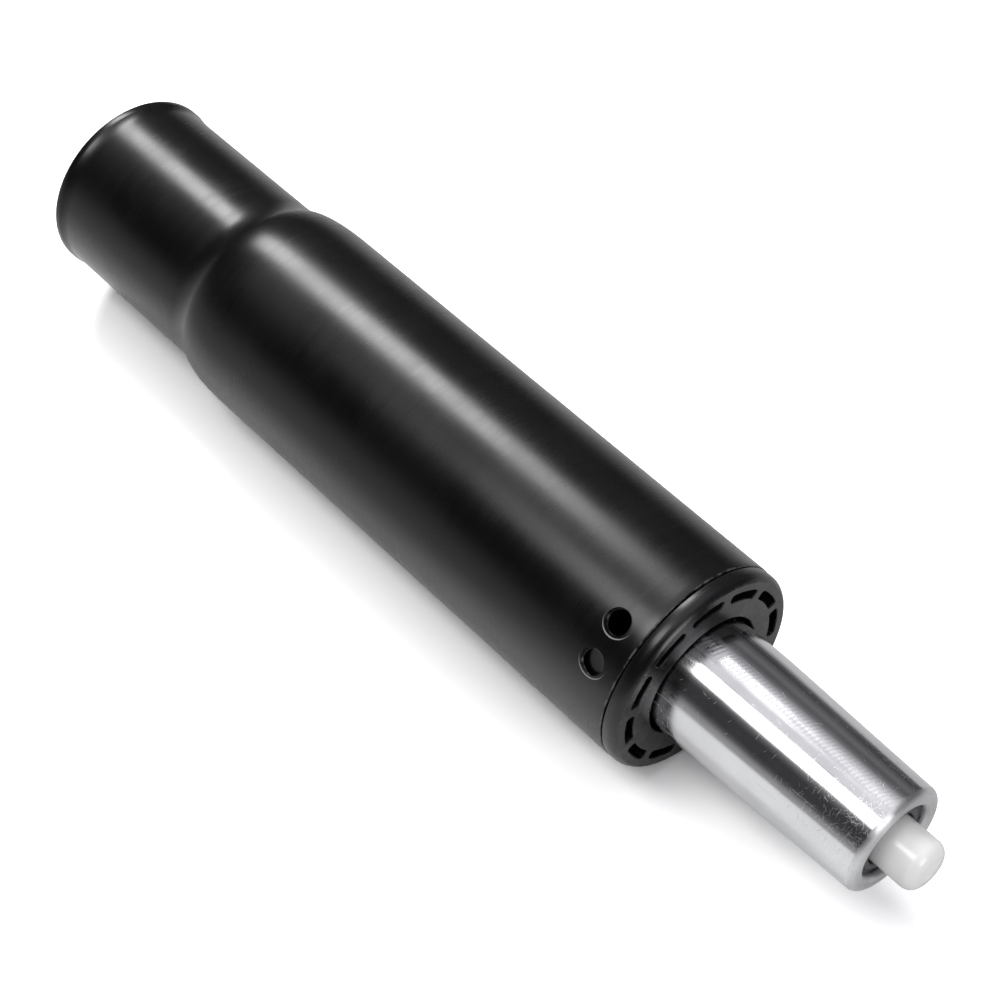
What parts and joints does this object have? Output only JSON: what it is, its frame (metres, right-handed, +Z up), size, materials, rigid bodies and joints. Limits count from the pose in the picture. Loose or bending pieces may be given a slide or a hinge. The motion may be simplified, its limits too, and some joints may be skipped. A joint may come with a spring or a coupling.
{
  "type": "chair gas lift cylinder",
  "caption": "Gas lift height cylinder for a swivel chair: black standing tube with a necked end, slotted guide bush, chromed tapered pressure tube and a release button.",
  "frame": {"origin": "centre of the standing tube's lower end face, on the surface that it stands on", "axes": "+Z up along the cylinder's axis, from the lower end towards the release button; one slot of the bush flange is centred on +X and one on +Y"},
  "size_m": [0.05, 0.05, 0.2614],
  "materials": {
    "black_paint": "semi-matte black paint with a slight orange peel",
    "bush_plastic": "moulded dark plastic, satin",
    "chrome": "polished chrome with fine scratches",
    "white_plastic": "smooth white plastic",
    "dark_steel": "dark blackened steel",
    "zinc_steel": "zinc-plated steel",
    "bearing_steel": "ground bearing steel",
    "spring_steel": "oiled spring steel",
    "cage_brass": "pressed brass",
    "valve_brass": "machined brass",
    "rubber": "black rubber",
    "acetal": "natural machined acetal",
    "guide_ptfe": "bronze-filled guide strip",
    "aluminium": "turned aluminium"
  },
  "bodies": {
    "stand": {"standing_tube": "black_paint", "bottom_plate": "zinc_steel", "guide_bush": "bush_plastic", "bearing_lower_washer": "bearing_steel"},
    "bearing_cage": {"ball_cage": "cage_brass", "bearing_balls": "bearing_steel"},
    "rod": {"bearing_upper_washer": "bearing_steel", "load_washer": "zinc_steel", "bump_stop": "rubber", "piston_rod": "bearing_steel", "clip_washer": "zinc_steel", "rod_clip": "spring_steel", "piston_washer": "zinc_steel", "piston": "acetal", "piston_seal": "rubber", "piston_guide_ring": "guide_ptfe", "piston_nut": "zinc_steel"},
    "lift": {"pressure_tube": "chrome", "inner_tube": "bearing_steel", "end_washer": "zinc_steel", "rod_guide": "acetal", "rod_seal": "rubber", "tube_carrier": "acetal", "valve_body": "valve_brass", "valve_rings": "rubber", "pin_seal": "rubber", "pin_washer": "zinc_steel", "spacer_sleeve": "aluminium", "top_insert": "dark_steel"},
    "button": {"valve_pin": "bearing_steel", "release_button": "white_plastic"}
  },
  "joints": [
    {"name": "swivel", "type": "hinge", "parent": "stand", "child": "rod", "pos_m": [0, 0, 0.0125], "axis": [0, 0, 1], "continuous": true},
    {"name": "cage_turn", "type": "hinge", "parent": "stand", "child": "bearing_cage", "pos_m": [0, 0, 0.0125], "axis": [0, 0, 1], "continuous": true},
    {"name": "height", "type": "slide", "parent": "rod", "child": "lift", "axis": [0, 0, 1], "range_m": [0, 0.1]},
    {"name": "button_press", "type": "slide", "parent": "lift", "child": "button", "axis": [0, 0, 1], "range_m": [-0.004, 0], "stiffness_N_per_m": 20000}
  ],
  "couplings": [
    {"joint": "cage_turn", "follows": "swivel", "ratio": 0.5}
  ]
}
